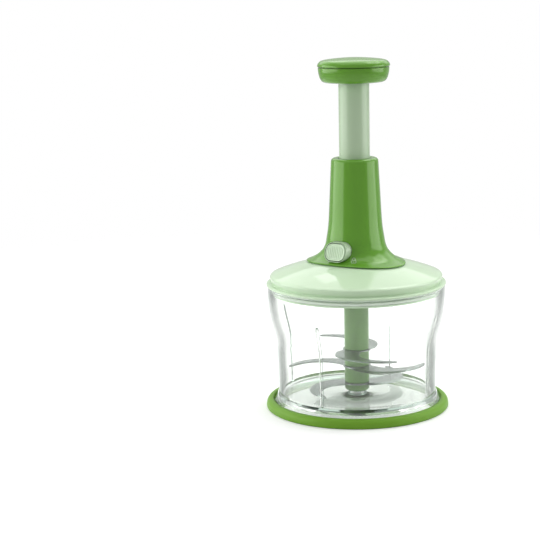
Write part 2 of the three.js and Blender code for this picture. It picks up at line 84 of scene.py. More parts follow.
def offset(points, distance):
    # moves an open outline to the right of its own direction
    moved = []
    for i, (r, z) in enumerate(points):
        before, after = points[max(i - 1, 0)], points[min(i + 1, len(points) - 1)]
        dr, dz = after[0] - before[0], after[1] - before[1]
        length = math.hypot(dr, dz)
        moved.append((r + distance * dz / length, z - distance * dr / length))
    return moved


def rounded(corners, steps=5):
    # a corner with a third number is rounded by about that radius
    made = []
    for i, corner in enumerate(corners):
        if len(corner) < 3:
            made.append(tuple(corner))
            continue
        here = Vector(corner[:2])
        before = Vector(corners[i - 1][:2]) - here
        after = Vector(corners[(i + 1) % len(corners)][:2]) - here
        half = before.angle(after) / 2
        trim = min(corner[2] / max(math.tan(half), 0.05), 0.48 * before.length, 0.48 * after.length)
        start, end = here + before.normalized() * trim, here + after.normalized() * trim
        for k in range(steps + 1):
            t = k / steps
            spot = start * (1 - t) ** 2 + here * 2 * t * (1 - t) + end * t ** 2
            made.append((spot.x, spot.y))
    return made


def smoothStep(value, low, high):
    t = min(max((value - low) / (high - low), 0), 1)
    return t * t * (3 - 2 * t)


# Meshes
def joinRows(bm, rows):
    for row, following in zip(rows, rows[1:]):
        for i in range(len(row)):
            k = (i + 1) % len(row)
            bm.faces.new([row[i], row[k], following[k], following[i]])


def closeEnds(bm, rows):
    bm.faces.new(rows[0])
    bm.faces.new(rows[-1])


def newPiece(name, bm):
    bmesh.ops.recalc_face_normals(bm, faces=bm.faces)
    mesh = bpy.data.meshes.new(name)
    bm.to_mesh(mesh)
    bm.free()
    return addObject(name, mesh)


def addObject(name, data):
    piece = bpy.data.objects.new(name, data)
    scene.collection.objects.link(piece)
    return piece


def turned(name, outline, steps=144, angles=None, reshape=None):
    # turns an outline about Z: closed, or from the axis to the axis
    bm = bmesh.new()
    angles = angles or [360 * i / steps for i in range(steps)]
    poles = {i: bm.verts.new((0, 0, z * mm)) for i, (r, z) in enumerate(outline) if r < 1e-6}
    rows = []
    for angle in map(math.radians, angles):
        row = []
        for i, (r, z) in enumerate(outline):
            spot = (r * math.cos(angle), r * math.sin(angle), z)
            if reshape:
                spot = reshape(*spot)
            row.append(poles.get(i) or bm.verts.new(Vector(spot) * mm))
        rows.append(row)
    count = len(outline)
    for row, following in zip(rows, rows[1:] + rows[:1]):
        for j in range(count - 1 if poles else count):
            k = (j + 1) % count
            corners = list(dict.fromkeys([row[j], following[j], following[k], row[k]]))
            if len(corners) > 2:
                bm.faces.new(corners)
    return newPiece(name, bm)


def extruded(name, outline, low, high, place=None):
    # a flat outline of (x, y) made into a bar along Z, then put in place
    bm = bmesh.new()
    rows = [[bm.verts.new((x * mm, y * mm, z * mm)) for x, y in outline] for z in (low, high)]
    closeEnds(bm, rows)
    joinRows(bm, rows)
    if place:
        bmesh.ops.transform(bm, matrix=place, verts=bm.verts)
    return newPiece(name, bm)


def oblong(left, front, right, back):
    return [(left, front), (right, front), (right, back), (left, back)]


def plainMesh(piece):
    # turns what the modifiers make into the piece's own mesh
    bpy.context.view_layer.update()
    evaluated = piece.evaluated_get(bpy.context.evaluated_depsgraph_get())
    result = bpy.data.meshes.new_from_object(evaluated)
    piece.modifiers.clear()
    piece.data = result
    return piece


def combine(piece, operation, *tools, keep=False):
    for tool in tools:
        modifier = piece.modifiers.new(operation, "BOOLEAN")
        modifier.operation = operation
        modifier.solver = "EXACT"
        modifier.object = tool
    plainMesh(piece)
    for tool in [] if keep else tools:
        bpy.data.objects.remove(tool)
    return piece


def smooth(piece, angle=32):
    piece.data.polygons.foreach_set("use_smooth", [True] * len(piece.data.polygons))
    piece.data.set_sharp_from_angle(angle=math.radians(angle))
    piece.data.update()
    return piece


def around(radius, degrees):
    angle = math.radians(degrees)
    return radius * math.cos(angle), radius * math.sin(angle)


# Camera and studio
view = {
    "distance": 1311.16,  # from the stem's axis, along the floor
    "height": 370.25,
    "turn": 33.0,  # degrees from the lock button round to the camera
    "tiltDown": 10.733,
    "panLeft": 3.263,
    "roll": -1.259,
    "lens": 102.15,
    "sensor": 36,
}


def makeCamera():
    data = bpy.data.cameras.new("camera")
    data.lens = view["lens"]
    data.sensor_width = view["sensor"]
    camera = addObject("camera", data)
    spot = Vector((*around(view["distance"], view["turn"] - 90), view["height"]))
    place = Matrix.Translation(spot * mm)
    heading = Matrix.Rotation(math.radians(view["turn"] + view["panLeft"]), 4, "Z")
    tilt = Matrix.Rotation(math.radians(90 - view["tiltDown"]), 4, "X")
    roll = Matrix.Rotation(math.radians(view["roll"]), 4, "Z")
    camera.matrix_world = place @ heading @ tilt @ roll
    scene.camera = camera


studio = {
    "fill": 0.36,  # light from all round
    "floorSize": 6000,
    "floorThickness": 20,
    "floorFade": (350, 1000),  # from where to where it fades out
    "floorRoughness": 0.7,
    "floorSpecular": 0.1,
    "floorGrain": {"Scale": 900, "Detail": 2},
    "floorBump": {"Strength": 0.15, "Distance": 0.0002},
    "floorColour": (0.97, 0.97, 0.97, 1),
    "bounceColour": (0.58, 0.58, 0.58, 1),  # the floor as it lights what stands on it
    "floorLift": 0.12,  # added to what the camera sees of the floor
    "shine": 0.6,  # how bright a mirror finds the studio between the boxes, low down
    "highShine": 0.68,  # and high up
    "shineRise": (0.12, 0.34),  # how steeply low and high look up, as a sine
    "aimHeight": 150,  # what the boxes point at
    "boxes": [  # bearing from the camera, distance, height, width, length, brightness
        ("left box", -86, 1250, 440, 1700, 900, 2.75),
        ("right box", 86, 1250, 400, 1200, 800, 2.6),
        ("back box", 180, 1300, 1450, 3400, 1500, 1.0),
        ("top box", 180, 250, 1900, 1800, 1800, 1.45),
        ("window", 120, 850, 1480, 900, 700, 2.6),
        ("left pane", -171, 1000, 1030, 210, 250, 1.25),
    ],
}


def put(tree, kind, inputs=None, **settings):
    # adds a node; an input is a value, a socket or a node, whose first output it takes
    made = tree.nodes.new(kind)
    for key, value in settings.items():
        setattr(made, key, value)
    for key, value in (inputs or {}).items():
        if isinstance(value, bpy.types.Node):
            value = value.outputs[0]
        if isinstance(value, bpy.types.NodeSocket):
            tree.links.new(value, made.inputs[key])
        else:
            made.inputs[key].default_value = value
    return made


def maths(tree, operation, *values):
    return put(tree, "ShaderNodeMath", dict(enumerate(values)), operation=operation)


def emptyTree(owner):
    owner.use_nodes = True
    owner.node_tree.nodes.clear()
    return owner.node_tree


def seenDirectly(tree, shine=1):
    # 1 for what the camera or clear plastic looks at, and the shine for a mirror
    path = put(tree, "ShaderNodeLightPath").outputs
    mirrored = maths(tree, "MULTIPLY", path["Is Glossy Ray"], shine)
    seen = maths(tree, "MAXIMUM", path["Is Camera Ray"], mirrored)
    return maths(tree, "MAXIMUM", seen, path["Is Transmission Ray"])


def makeWorld():
    world = bpy.data.worlds.new("studio")
    scene.world = world
    tree = emptyTree(world)
    direction = put(tree, "ShaderNodeTexCoord").outputs["Generated"]
    rise = put(tree, "ShaderNodeSeparateXYZ", {0: direction}).outputs["Z"]
    low, high = studio["shineRise"]
    shine = put(tree, "ShaderNodeMapRange", {"Value": rise, "From Min": low, "From Max": high,
                "To Min": studio["shine"], "To Max": studio["highShine"]})
    light = maths(tree, "MAXIMUM", seenDirectly(tree, shine), studio["fill"])
    white = put(tree, "ShaderNodeBackground", {"Color": (1, 1, 1, 1), "Strength": light})
    put(tree, "ShaderNodeOutputWorld", {"Surface": white})


def addBox(name, place, width, length, brightness):
    data = bpy.data.lights.new(name, "AREA")
    data.shape = "RECTANGLE"
    data.size, data.size_y = width * mm, length * mm
    data.energy = brightness * width * length * mm * mm * math.pi
    box = addObject(name, data)
    aim = Vector((0, 0, studio["aimHeight"] * mm)) - place
    box.matrix_world = Matrix.Translation(place) @ aim.to_track_quat("-Z", "Y").to_matrix().to_4x4()
    box.visible_camera = False


def makeLights():
    for name, bearing, distance, height, width, length, brightness in studio["boxes"]:
        spot = Vector((*around(distance, view["turn"] - 90 + bearing), height))
        addBox(name, spot * mm, width, length, brightness)


def makeFloor():
    material = bpy.data.materials.new("studio floor")
    tree = emptyTree(material)
    spot = put(tree, "ShaderNodeTexCoord").outputs["Object"]
    far = put(tree, "ShaderNodeVectorMath", {0: spot}, operation="LENGTH").outputs["Value"]
    near, end = studio["floorFade"]
    fade = put(tree, "ShaderNodeMapRange", {"Value": far, "From Min": near * mm, "From Max": end * mm},
               interpolation_type="SMOOTHSTEP")
    grain = put(tree, "ShaderNodeTexNoise", {"Vector": spot, **studio["floorGrain"]})
    bump = put(tree, "ShaderNodeBump", {"Height": grain, **studio["floorBump"]})
    shown = seenDirectly(tree)
    colour = put(tree, "ShaderNodeMix", {0: shown, 6: studio["bounceColour"], 7: studio["floorColour"]},
                 data_type="RGBA")
    paint = put(tree, "ShaderNodeBsdfPrincipled", {
        "Base Color": colour.outputs[2], "Roughness": studio["floorRoughness"], "Normal": bump,
        "Specular IOR Level": studio["floorSpecular"], "Emission Color": (1, 1, 1, 1),
        "Emission Strength": maths(tree, "MULTIPLY", shown, studio["floorLift"])})
    clear = put(tree, "ShaderNodeBsdfTransparent")
    mix = put(tree, "ShaderNodeMixShader", {0: fade, 1: paint, 2: clear})
    put(tree, "ShaderNodeOutputMaterial", {"Surface": mix})
    half = studio["floorSize"] / 2
    floor = extruded("studio_floor", oblong(-half, -half, half, half), -studio["floorThickness"], 0)
    floor.data.materials.append(material)


makeCamera()
makeWorld()
makeLights()
makeFloor()
print("camera, lights and floor made")


# Finishes
def makeGroup(name, inputs, outputs, kind="ShaderNodeTree"):
    tree = bpy.data.node_groups.new(name, kind)
    for direction, sockets in (("INPUT", inputs), ("OUTPUT", outputs)):
        for label, socket in sockets.items():
            tree.interface.new_socket(label, in_out=direction, socket_type="NodeSocket" + socket)
    return tree, put(tree, "NodeGroupInput").outputs, put(tree, "NodeGroupOutput").inputs


def noise(tree, spot, scale, **settings):
    return put(tree, "ShaderNodeTexNoise", {"Vector": spot, "Scale": scale, **settings})


def startGroup(name, inputs):
    common = {"Color": "Color", "Roughness": "Float", "Gloss Spread": "Float"}
    outputs = {"Color": "Color", "Roughness": "Float", "Normal": "Vector"}
    tree, given, out = makeGroup(name, {**common, **inputs}, outputs)
    return tree, given, out, put(tree, "ShaderNodeTexCoord").outputs["Object"]


def finishGroup(tree, given, out, tone, streaks, relief, depth):
    # scales the colour by the tone, adds the streaks to the roughness, and makes a normal of the relief
    colour = put(tree, "ShaderNodeVectorMath", {0: given["Color"], "Scale": tone}, operation="SCALE")
    gloss = maths(tree, "MULTIPLY_ADD", streaks, given["Gloss Spread"], given["Roughness"])
    bump = put(tree, "ShaderNodeBump", {"Height": relief, "Strength": 1, "Distance": depth})
    for label, made in (("Color", colour), ("Roughness", gloss), ("Normal", bump)):
        tree.links.new(made.outputs[0], out[label])
    return tree


def makeMouldedSkin():
    # slow drifts of tone, faint swirls of gloss and a fine grain, as moulded plastic has
    tree, given, out, spot = startGroup("moulded skin", {
        "Tone Spread": "Float", "Tone Size": "Float", "Grain Size": "Float", "Grain Depth": "Float"})
    drift = maths(tree, "SUBTRACT", noise(tree, spot, given["Tone Size"], Detail=3, Distortion=0.6), 0.5)
    tone = maths(tree, "MULTIPLY_ADD", drift, given["Tone Spread"], 1)
    swirls = noise(tree, spot, 210, Detail=4, Distortion=1.5)
    grain = noise(tree, spot, given["Grain Size"], Detail=2)
    return finishGroup(tree, given, out, tone, swirls, grain, given["Grain Depth"])


def makeWorkedMetal():
    # lines left by grinding or drawing, stretched along one axis, and a faint stain
    tree, given, out, spot = startGroup("worked metal", {
        "Line Stretch": "Vector", "Line Depth": "Float", "Stain": "Float"})
    drawn = put(tree, "ShaderNodeVectorMath", {0: spot, 1: given["Line Stretch"]}, operation="MULTIPLY")
    lines = noise(tree, drawn, 1, Detail=5, Roughness=0.65)
    stain = maths(tree, "MULTIPLY", noise(tree, spot, 60, Detail=4), given["Stain"])
    tone = maths(tree, "SUBTRACT", 1, stain)
    return finishGroup(tree, given, out, tone, lines, lines, given["Line Depth"])


mouldedSkin = makeMouldedSkin()
workedMetal = makeWorkedMetal()


def linear(colour):
    # an sRGB colour of 0 to 255 as Blender's linear one
    parts = [c / 255 for c in colour]
    return tuple(c / 12.92 if c <= 0.04045 else ((c + 0.055) / 1.055) ** 2.4 for c in parts) + (1,)


def startMaterial(name, group, values):
    material = bpy.data.materials.new(name)
    tree = emptyTree(material)
    skin = tree.nodes.new("ShaderNodeGroup")
    skin.node_tree = group
    for key, value in values.items():
        skin.inputs[key].default_value = value
    colour, roughness, normal = skin.outputs
    shader = put(tree, "ShaderNodeBsdfPrincipled",
                 {"Base Color": colour, "Roughness": roughness, "Normal": normal})
    output = put(tree, "ShaderNodeOutputMaterial", {"Surface": shader})
    return material, tree, shader, output


unevenness = {
    "toneSpread": 0.06,
    "toneSize": 22,  # drifts of tone per metre
    "glossSpread": 0.05,
    "lineSpread": 0.12,  # of the gloss of metals
    "stain": 0.12,
}
plastics = {  # colour, roughness, grain per metre, grain depth in mm, specular level, specular tint
    "dark_green": ((96, 153, 43), 0.13, 1400, 0.002, 0.53, (0.85, 1.0, 0.72, 1)),
    "ring_green": ((111, 160, 46), 0.42, 3600, 0.012, 0.3, (0.85, 1.0, 0.7, 1)),
    "pale_green": ((202, 226, 193), 0.05, 1300, 0.0015, 0.5, (1, 1, 1, 1)),
    "stem_green": ((182, 205, 172), 0.16, 2000, 0.002, 0.42, (1, 1, 1, 1)),
    "shaft_green": ((96, 134, 70), 0.28, 2400, 0.004, 0.4, (1, 1, 1, 1)),
    "silicone": ((229, 238, 226), 0.5, 3000, 0.008, 0.3, (1, 1, 1, 1)),
    "white_plastic": ((238, 237, 230), 0.34, 2600, 0.006, 0.45, (1, 1, 1, 1)),
}
metals = {  # colour, stretch of the lines along X, Y and Z, line depth in mm, roughness
    "steel": ((196, 198, 200), (300, 300, 4000), 0.0006, 0.2),
    "spring_steel": ((148, 152, 155), (900, 900, 900), 0.0008, 0.26),
    "blade_steel": ((150, 158, 153), (160, 5200, 160), 0.0008, 0.16),
    "brass": ((201, 168, 90), (1400, 1400, 1400), 0.003, 0.3),
}


def makePlastic(name):
    colour, roughness, grainSize, grainDepth, specular, tint = plastics[name]
    material, _, shader, _ = startMaterial(name, mouldedSkin, {
        "Color": linear(colour), "Roughness": roughness, "Gloss Spread": unevenness["glossSpread"],
        "Tone Spread": unevenness["toneSpread"], "Tone Size": unevenness["toneSize"],
        "Grain Size": grainSize, "Grain Depth": grainDepth * mm})
    shader.inputs["Specular IOR Level"].default_value = specular
    shader.inputs["Specular Tint"].default_value = tint
    return material


def makeMetal(name):
    colour, stretch, depth, roughness = metals[name]
    material, _, shader, _ = startMaterial(name, workedMetal, {
        "Color": linear(colour), "Line Stretch": stretch, "Line Depth": depth * mm,
        "Roughness": roughness, "Gloss Spread": unevenness["lineSpread"], "Stain": unevenness["stain"]})
    shader.inputs["Metallic"].default_value = 1
    return material


clearPlastic = {
    "colour": (250, 252, 250),
    "skin": {"Tone Spread": 0.01, "Tone Size": 14, "Roughness": 0.015, "Gloss Spread": 0.01,
             "Grain Size": 70, "Grain Depth": 0.000002},
    "bending": 1.5,  # index of refraction
    "tint": (0.50, 0.62, 0.54, 1),
    "density": 5.0,  # what a metre of it takes away
    "paintedEdgeShade": (0.03, 0.05, 0.035, 1),  # painted shade: near black for an upright wall seen edge on
    "edge": (0.53, 0.71),  # from where to where the painted shade comes in
    "deepTint": (0.72, 0.77, 0.74, 1),
    "mirrorings": 2.5,  # after these, or these bounces, a ray goes straight on
    "bounces": 8.5,
    "shadow": (0.93, 0.95, 0.93, 1),
}


def makeClearPlastic():
    material, tree, shader, output = startMaterial("clear_plastic", mouldedSkin, {
        "Color": linear(clearPlastic["colour"]), **clearPlastic["skin"]})
    shader.inputs["Transmission Weight"].default_value = 1
    shader.inputs["IOR"].default_value = clearPlastic["bending"]

    def blend(share, first, second):
        return put(tree, "ShaderNodeMix", {0: share, 6: first, 7: second}, data_type="RGBA").outputs[2]

    # painted shade: the base colour darkens to near black where an upright wall is seen edge on, standing in
    # for dark surroundings seen through the bowl's edges
    facing = put(tree, "ShaderNodeLayerWeight").outputs["Facing"]
    start, end = clearPlastic["edge"]
    edge = put(tree, "ShaderNodeMapRange", {"Value": facing, "From Min": start, "From Max": end})
    normal = put(tree, "ShaderNodeNewGeometry").outputs["Normal"]
    rise = put(tree, "ShaderNodeSeparateXYZ", {0: normal}).outputs["Z"]
    upright = maths(tree, "SUBTRACT", 1, maths(tree, "ABSOLUTE", rise))
    edge = maths(tree, "MULTIPLY", edge, upright)
    colour = blend(edge, shader.inputs["Base Color"].links[0].from_socket, clearPlastic["paintedEdgeShade"])
    tree.links.new(colour, shader.inputs["Base Color"])
    path = put(tree, "ShaderNodeLightPath").outputs
    mirrored = maths(tree, "GREATER_THAN", path["Glossy Depth"], clearPlastic["mirrorings"])
    bounced = maths(tree, "GREATER_THAN", path["Ray Depth"], clearPlastic["bounces"])
    deep = maths(tree, "MAXIMUM", mirrored, bounced)
    dim = blend(deep, clearPlastic["shadow"], clearPlastic["deepTint"])
    clear = put(tree, "ShaderNodeBsdfTransparent", {"Color": dim})
    straight = maths(tree, "MAXIMUM", path["Is Shadow Ray"], deep)
    mix = put(tree, "ShaderNodeMixShader", {0: straight, 1: shader, 2: clear})
    soak = put(tree, "ShaderNodeVolumeAbsorption", {"Color": clearPlastic["tint"],
               "Density": clearPlastic["density"]})
    tree.links.new(mix.outputs[0], output.inputs["Surface"])
    tree.links.new(soak.outputs[0], output.inputs["Volume"])
    return material


materials = {name: makePlastic(name) for name in plastics}
materials.update({name: makeMetal(name) for name in metals})
materials["clear_plastic"] = makeClearPlastic()
slots = {part["node"]: part["material_slot"] for part in frame["record"]["subparts"]}
bodies = {node: body for body, nodes in frame["record"]["behaviour"]["bodies"].items() for node in nodes}
for nodeName, piece in frame["nodes"].items():
    piece.data.materials.clear()
    piece.data.materials.append(materials[slots[nodeName]])
print("materials made")


def dress(piece, node):
    # gives a piece the finish and the body of the node that it stands for
    piece.data.materials.clear()
    piece.data.materials.append(materials[slots[node]])
    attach(piece, bodies[node])
    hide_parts(node)
    return piece


def dressTurned(name, node, outline, steps, angle=40):
    return dress(smooth(turned(name, outline, steps), angle), node)


# Bowl
bowl = {
    "outside": [(68.8, 14.6), (68.8, 26), (69.3, 42), (69.8, 57), (71.4, 65), (74.1, 75.3),
                (76, 85.5), (77.1, 97), (77.3, 108.4)],
    "underside": [(0, 3.6), (7, 3.6, 0.6), (7, 9.6, 1.2), (64, 9.6, 2.5), (67, 8.2, 2), (70.2, 2.3, 0.4),
                  (73, 2.3, 0.5), (73, 4.2, 0.8), (72, 6, 3), (69.9, 12.4, 0.7), (68.8, 14, 0.8)],
    "floor": [(20, 12.5), (6, 12.5, 0.3), (6, 13.3, 0.25), (3.3, 13.3, 0.2), (3.3, 5), (0, 5)],
    "floorTop": 12.5,
    "wall": 2.4,
    "rim": 0.9,  # rounding at the top of the wall
    "corner": 1.2,  # inside, between the floor and the wall
    "ribCount": 4,
    "ribTurn": -83.5,  # bearing of the first rib
    "ribProud": 1.8,
    "ribHalfWidth": 1.15,
    "ribEdge": 0.4,  # how far from its side the rib's face starts to fall
    "ribEdgeFall": 0.16,  # and by what share of its height
    "ribTop": 86,
    "ribFade": 5,  # the height over which it ends
    "ribReach": 2.3,  # farthest from a rib's middle with close points
    "ribFrom": 62,  # nothing nearer to the axis is moved
}


def makeBowl():
    outside = curve(bowl["outside"], 60)
    inside = offset(outside, -bowl["wall"])[::-1]
    floorTop, corner, rim, half = (bowl[key] for key in ("floorTop", "corner", "rim", "ribHalfWidth"))
    wallFoot = [p for p in inside[1:] if p[1] > floorTop + corner]
    outline = rounded(bowl["underside"]) + outside[1:-1]
    outline += rounded([outside[-2], (*outside[-1], rim), (*inside[0], rim), inside[1]])[1:-1]
    outline += wallFoot + arc(wallFoot[-1][0] - corner, floorTop + corner, corner, 0, -90, 8)[1:]
    outline += rounded(bowl["floor"])
    ribAngles = [bowl["ribTurn"] + 360 * i / bowl["ribCount"] for i in range(bowl["ribCount"])]
    innerRadius = bowl["outside"][0][0] - bowl["wall"]

    def fromRib(bearing):
        return min(abs((bearing - a + 180) % 360 - 180) for a in ribAngles)

    # the wall has points close together where a rib bends, and one every two degrees elsewhere
    near = [0.02, half - bowl["ribEdge"], half - 0.2, half - 0.08, half, half + 0.2, bowl["ribReach"]]
    offsets = [math.degrees(side * w / innerRadius) for side in (-1, 1) for w in near]
    angles = {round((a + o) % 360, 4) for a in ribAngles for o in offsets}
    angles |= {a for a in range(0, 360, 2) if fromRib(a) > 2.6}

    def wallRadius(z):
        return min(inside, key=lambda spot: abs(spot[1] - z))[0]

    def addRibs(x, y, z):
        radius = math.hypot(x, y)
        if not bowl["ribFrom"] <= radius <= wallRadius(z) + bowl["wall"] / 3 or z < floorTop + 0.2:
            return x, y, z
        side = math.radians(fromRib(math.degrees(math.atan2(y, x)))) * radius
        across = 1 - bowl["ribEdgeFall"] * smoothStep(side, half - bowl["ribEdge"], half - 0.08)
        across *= 1 - smoothStep(side, half - 0.1, half + 0.2)
        upward = smoothStep(z, floorTop + 0.2, floorTop + 2)
        ending = 1 - smoothStep(z, bowl["ribTop"] - bowl["ribFade"], bowl["ribTop"])
        share = 1 - bowl["ribProud"] * across * upward * ending / radius
        return x * share, y * share, z

    return smooth(turned("bowl_clear", outline, angles=sorted(angles), reshape=addRibs))


ring = {  # the crown is made of arcs: centre, radius, start, end and steps
    "hem": [(66.5, 1), (66.5, 0, 0.3), (78.6, 0)],
    "crown": [(78.4, 1.6, 1.6, -70, 0, 5), (74.9, 3.2, 4.8, 10, 90, 14), (74.3, 7.1, 0.9, 100, 180, 6)],
    "shelf": [(73.4, 6), (73.4, 2, 0.3), (66.5, 2, 0.3), (66.5, 1)],
}
pin = {"foot": [(0, 5.3), (3, 5.3, 0.3), (3, 38)], "tip": (0, 38.7, 3, 0, 88, 10), "top": 41.7}

dress(makeBowl(), "bowl")
crown = [spot for bend in ring["crown"] for spot in arc(*bend)]
dressTurned("bowl_ring", "non_slip_ring", rounded(ring["hem"]) + crown + rounded(ring["shelf"])[1:-1], 180)
dressTurned("bowl_pin", "pivot_pin", rounded(pin["foot"]) + arc(*pin["tip"]) + [(0, pin["top"])], 48, 32)
print("bowl made")


# Lid
lid = {
    "apex": 132.6,
    "fall": 0.00271,  # of the dome, for each square millimetre
    "bore": 17.5,
    "domeEdge": 73.4,
    "insideEdge": 68,
    "wall": 2.2,
    "rim": [(74.5, 117.1, 0.5), (75, 116.2, 0.4), (73.5, 110.9, 0.3), (76.3, 110.9, 0.4), (78, 110.4, 0.8),
            (78, 109.1, 0.4), (77.3, 108.7, 0.2), (73, 108.7, 0.2), (73, 106.9, 0.2), (71.5, 106.9, 0.2),
            (71.5, 103.7, 0.2), (73, 103.7, 0.2), (73, 102.2, 0.4), (70.8, 102.2, 0.4), (70.8, 114.2, 1.2)],
    "screwCircle": 30,
    "towerScrewCircle": 24.5,
    "boss": (3.6, 117),  # radius and bottom
    "pilot": (1.5, 116, 125.5),  # radius, bottom and top, as for the next
    "towerScrewHole": (1.9, 120, 140),
}
gasket = {"outline": [(71.8, 104, 0.2), (73.4, 104, 0.2), (74.6, 104.7, 0.25), (73.9, 105.3, 0.15),
                      (74.6, 105.9, 0.25), (73.4, 106.6, 0.2), (71.8, 106.6, 0.2)]}
plate = {"outline": [(9, 102.4, 0.3), (14, 102.4), (15, 102.9, 0.2), (66, 102.9, 0.2), (67, 102.4),
                     (70.2, 102.4, 0.3), (70.5, 104.4, 0.3), (12, 104.4, 0.6), (12, 106.7, 0.4),
                     (9, 106.7, 0.3)]}
quarterTurns = [0, 90, 180, 270]
diagonals = [45, 135, 225, 315]


def domeHeight(radius):
    return lid["apex"] - lid["fall"] * radius ** 2


def domeArc(start, end, drop, steps):
    radii = [start + (end - start) * i / steps for i in range(steps + 1)]
    return [(r, domeHeight(r) - drop) for r in radii]


def rod(name, radius, low, high, x=0, y=0, steps=32):
    rim = [around(radius, 360 * i / steps) for i in range(steps)]
    return extruded(name, [(x + u, y + v) for u, v in rim], low, high)


def rods(name, radius, low, high, circle, bearings):
    return [rod(name, radius, low, high, *around(circle, bearing)) for bearing in bearings]


def makeLidCover():
    inner, wall, circle = lid["insideEdge"], lid["wall"], lid["screwCircle"]
    outline = domeArc(lid["bore"], lid["domeEdge"], 0, 40)
    outline += rounded([outline[-1], *lid["rim"], (inner, domeHeight(inner) - wall)])[1:]
    outline += domeArc(inner, lid["bore"], wall, 30)[1:]
    cover = turned("lid_dome", outline, 180)
    bosses = rods("boss", *lid["boss"], domeHeight(circle) - 1, circle, quarterTurns)
    pilots = rods("pilot", *lid["pilot"], circle, quarterTurns)
    holes = rods("hole", *lid["towerScrewHole"], lid["towerScrewCircle"], diagonals)
    combine(cover, "UNION", *bosses)
    return smooth(combine(cover, "DIFFERENCE", *pilots, *holes))


dress(makeLidCover(), "lid_cover")
dressTurned("lid_gasket", "lid_seal", rounded(gasket["outline"]), 180)
dressTurned("lid_plate", "lid_underplate", rounded(plate["outline"]), 180)
print("lid made")


# Tower
tower = {
    "outside": [(45, 128.9), (37.3, 132.3), (30.4, 137.8), (26.9, 143.2), (25, 150), (23.1, 164),
                (21.6, 192), (20.4, 215.6)],
    "shoulder": (17.3, 215.6, 3.1, 8, 84, 12),  # arc: centre, radius, start, end and steps
    "rim": [(14.7, 218.7, 0.4), (13.95, 218.1, 0.2), (13.95, 217.5, 0.1), (15.9, 217.4, 0.1),
            (15.9, 211.5, 0.2), (17.9, 211.5)],
    "insideTop": 208,
    "halfLength": 45.6,  # of the oval foot, along X
    "oval": 0.79,
    "ovalFrom": (152, 24),  # the height where it starts to turn oval, and over what height
    "layFrom": (150, 21),  # the same for following the dome
    "wall": 2.4,
    "gap": 0.3,
    "boss": (3.4, 131.3, 139),  # radius, bottom and top
    "pilot": (1.35, 120, 138),
    "trim": [(0, 131.9), (27.9, 131.15), (27.9, 120), (0, 120)],
    "buttonHole": (-45, -12),
}
button = {
    "centreZ": 141,
    "faceY": -34.6,
    "width": 21.8,
    "height": 16.4,
    "corner": 7.4,
    "sleeveBack": -19,
    "sleeveRear": 1.5,
    "sleeveWall": 0.5,
    "plugInset": 7,
    "window": (4.5, -25, -15, 133.6, 137.1),  # half width, from and to along Y, then Z
    "lean": 0.3,  # the front leans back towards its top
    "leanUntil": -26,
    "capBack": 2.6,
    # how far the cap's crown is behind its front, and in from the sleeve's wall
    "crown": [(0.6, 0.7), (0.2, 0.78), (0, 1.05), (0, 1.35), (0.15, 1.7), (0.35, 1.95), (0.42, 2.3),
              (0.5, 4), (0.55, 6.2)],
}


def ovalise(x, y, z):
    # squeezes the foot along Y and lays it on the dome
    (ovalTop, ovalOver), (layTop, layOver) = tower["ovalFrom"], tower["layFrom"]
    squeezed = y * (1 - (1 - tower["oval"]) * smoothStep(ovalTop - z, 0, ovalOver))
    lift = lid["fall"] * (y ** 2 - squeezed ** 2) * smoothStep(layTop - z, 0, layOver)
    return x, squeezed, z + lift


def ovalLoop(inset=0, steps=16):
    # the button's outline as (x, z), drawn in by the inset
    width, height = button["width"] / 2 - inset, button["height"] / 2 - inset
    corner = max(button["corner"] - inset, 0.6)
    loop = []
    for k, (sx, sz) in enumerate([(1, 1), (-1, 1), (-1, -1), (1, -1)]):
        centre = (sx * (width - corner), sz * (height - corner))
        loop += arc(*centre, corner, 90 * k, 90 * k + 90, steps)
    return [(x, z + button["centreZ"]) for x, z in loop]


def leaned(y, z):
    if y > button["leanUntil"]:
        return y
    return y + button["lean"] * (z - button["centreZ"] + button["height"] / 2)


def ovalLoft(name, levels, closed=False):
    # ovals at (y, inset) joined to each other, with two ends or as a closed ring
    bm = bmesh.new()
    rows = [[bm.verts.new((x * mm, leaned(y, z) * mm, z * mm)) for x, z in ovalLoop(inset)]
            for y, inset in levels]
    joinRows(bm, rows + rows[:1] if closed else rows)
    if not closed:
        closeEnds(bm, rows)
    bmesh.ops.remove_doubles(bm, verts=bm.verts, dist=1e-6)
    return newPiece(name, bm)


def makeTower():
    outside = curve(tower["outside"], 90)
    gap, half, circle = tower["gap"], tower["halfLength"], lid["towerScrewCircle"]
    inside = [(r, z) for r, z in offset(outside, -tower["wall"])
              if domeHeight(r) + gap < z < tower["insideTop"]]
    foot = domeHeight(half) + gap
    outline = rounded([
        (40.6, domeHeight(40.6) + gap), (43.4, domeHeight(43.4) + gap, 0.2),
        (44, domeHeight(44) + gap + 0.6, 0.2), (half - 0.2, foot + 0.6, 0.2), (half, foot + 1, 0.2),
        outside[0]])[:-1]
    outline += outside + arc(*tower["shoulder"])
    outline += rounded([outline[-1], *tower["rim"], inside[-1]])[1:-1] + inside[::-1]
    shell = turned("tower_shell", outline, 240, reshape=ovalise)
    bosses = rods("boss", *tower["boss"], circle, diagonals)
    trim = turned("trim", tower["trim"], 64)
    pilots = rods("pilot", *tower["pilot"], circle, diagonals)
    outer = turned("outer", [(0, 110), (half, 110)] + outside + [(0, outside[-1][1])], 120, reshape=ovalise)
    for boss in bosses:
        combine(boss, "INTERSECT", outer, keep=True)
    bpy.data.objects.remove(outer)
    combine(shell, "UNION", *bosses)
    hole = ovalLoft("hole", [(y, -gap) for y in tower["buttonHole"]])
    return smooth(combine(shell, "DIFFERENCE", trim, *pilots, hole))


